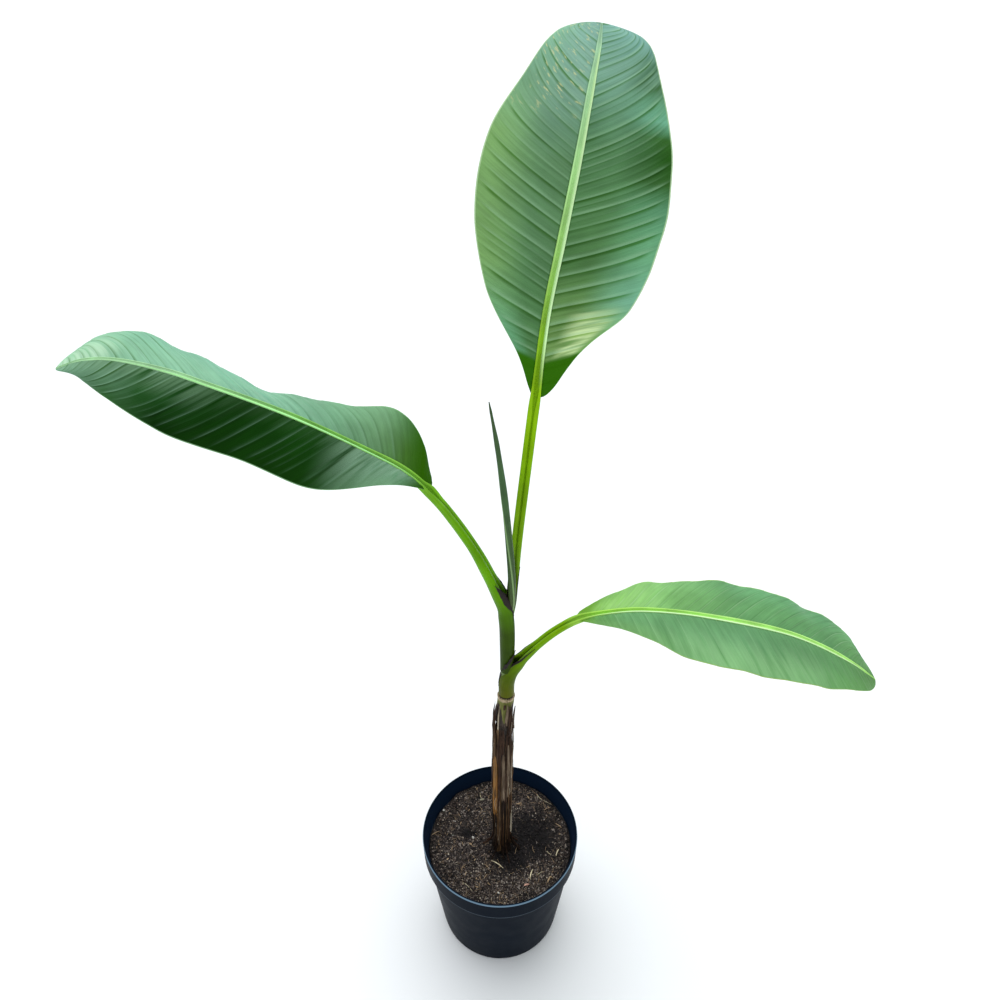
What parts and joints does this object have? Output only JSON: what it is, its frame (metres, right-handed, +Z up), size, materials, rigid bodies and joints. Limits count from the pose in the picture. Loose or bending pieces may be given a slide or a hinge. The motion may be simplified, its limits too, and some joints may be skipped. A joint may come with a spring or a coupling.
{
  "type": "potted banana plant",
  "caption": "Young banana plant in a round nursery pot: a slim stem in dry brown sheaths, arching leaf stalks, broad pleated blades and one rolled new leaf.",
  "frame": {"origin": "centre of the pot's flat underside", "axes": "+Z up along the stem, -Y towards the side that the upright leaf's upper face looks at, +X to the right seen from there"},
  "size_m": [0.852, 0.2459, 1.2078],
  "materials": {
    "pot": "satin moulded polypropylene, dark navy grey",
    "soil": "loose moist potting mix with pale fibres",
    "stem": "smooth waxy green",
    "dry_sheath": "dry fibrous brown",
    "cut_sheath": "pale dry cut end",
    "stalk": "smooth waxy yellow-green",
    "blade": "satin pleated leaf",
    "rolled_leaf": "satin rolled leaf"
  },
  "bodies": {
    "root": {"pot": "pot", "soil": "soil", "trunk": "stem", "dry_sheath_1": "dry_sheath", "dry_sheath_2": "dry_sheath", "dry_sheath_3": "dry_sheath", "dry_sheath_4": "dry_sheath", "dry_sheath_5": "dry_sheath", "cut_sheath": "cut_sheath", "spear_leaf": "rolled_leaf", "stalk_top": "stalk", "stalk_left": "stalk", "stalk_right": "stalk", "leaf_top": "blade", "leaf_left": "blade", "leaf_right": "blade"}
  },
  "joints": []
}
